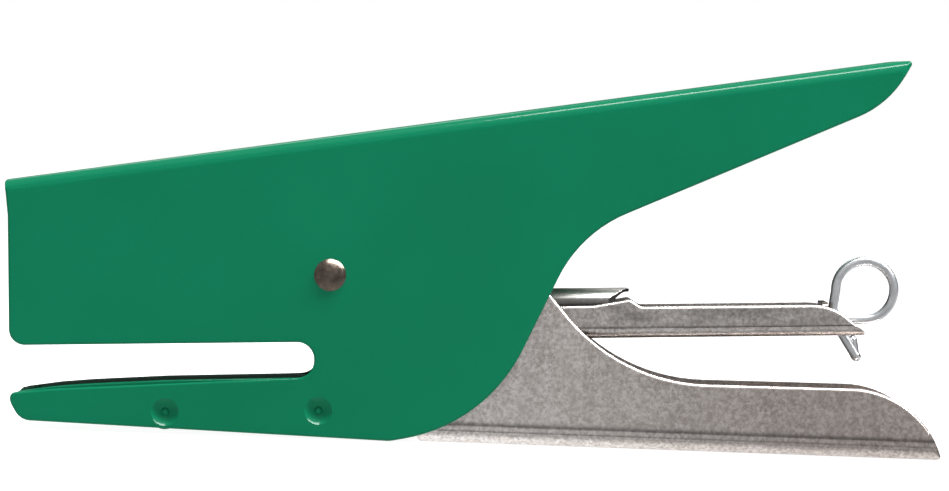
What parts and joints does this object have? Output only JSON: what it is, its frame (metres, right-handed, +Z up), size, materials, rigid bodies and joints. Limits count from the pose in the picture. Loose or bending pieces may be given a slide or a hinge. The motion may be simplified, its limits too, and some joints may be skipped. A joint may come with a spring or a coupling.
{
  "type": "plier stapler",
  "caption": "Plier stapler with a folded enamelled steel body, a nickel-plated squeeze lever and a magazine with a wire-ring loader.",
  "frame": {"origin": "on the surface it stands on, at the middle of its length and width", "axes": "+X from the jaws to the handles, +Y across the width, +Z up from the surface it stands on"},
  "size_m": [0.1566, 0.0212, 0.066],
  "materials": {
    "enamel": "gloss green enamel",
    "nickel": "satin nickel plate",
    "plain_steel": "ground steel",
    "spring_steel": "oiled spring wire",
    "bright_wire": "bright zinc-plated wire",
    "dark_steel": "oil-blackened steel"
  },
  "bodies": {
    "frame": {"body_shell": "enamel", "anvil_plate": "enamel", "pivot_rivet": "dark_steel", "return_spring": "spring_steel"},
    "lever": {"lever": "nickel", "driver_block": "plain_steel", "driver_blade": "plain_steel", "driver_rivets": "dark_steel", "magazine_spring": "spring_steel"},
    "magazine": {"magazine_channel": "nickel", "magazine_cover": "nickel", "magazine_gate": "nickel", "pivot_bush": "plain_steel"},
    "loader": {"loader_wire": "bright_wire", "rod_head": "bright_wire", "spring_stop_plate": "dark_steel", "pusher_spring": "spring_steel"},
    "pusher": {"pusher": "plain_steel"}
  },
  "joints": [
    {"name": "lever_hinge", "type": "hinge", "parent": "frame", "child": "lever", "pos_m": [-0.02396, 0, 0.02712], "axis": [0, -1, 0], "range_deg": [0, 15.1], "stiffness_Nm_per_rad": 1.9, "springref_deg": -15.47, "deforming": ["return_spring", "magazine_spring"]},
    {"name": "magazine_hinge", "type": "hinge", "parent": "frame", "child": "magazine", "pos_m": [-0.02396, 0, 0.02712], "axis": [0, -1, 0], "range_deg": [0, 7.9]},
    {"name": "loader_slide", "type": "slide", "parent": "magazine", "child": "loader", "axis": [0.9989, 0, 0.0471], "range_m": [0, 0.132]},
    {"name": "pusher_slide", "type": "slide", "parent": "loader", "child": "pusher", "axis": [0.9989, 0, 0.0471], "range_m": [0, 0.045], "stiffness_N_per_m": 40, "springref_m": -0.05, "deforming": ["pusher_spring"]}
  ],
  "couplings": [
    {"joint": "magazine_hinge", "follows": "lever_hinge", "ratio": 0.52318}
  ]
}
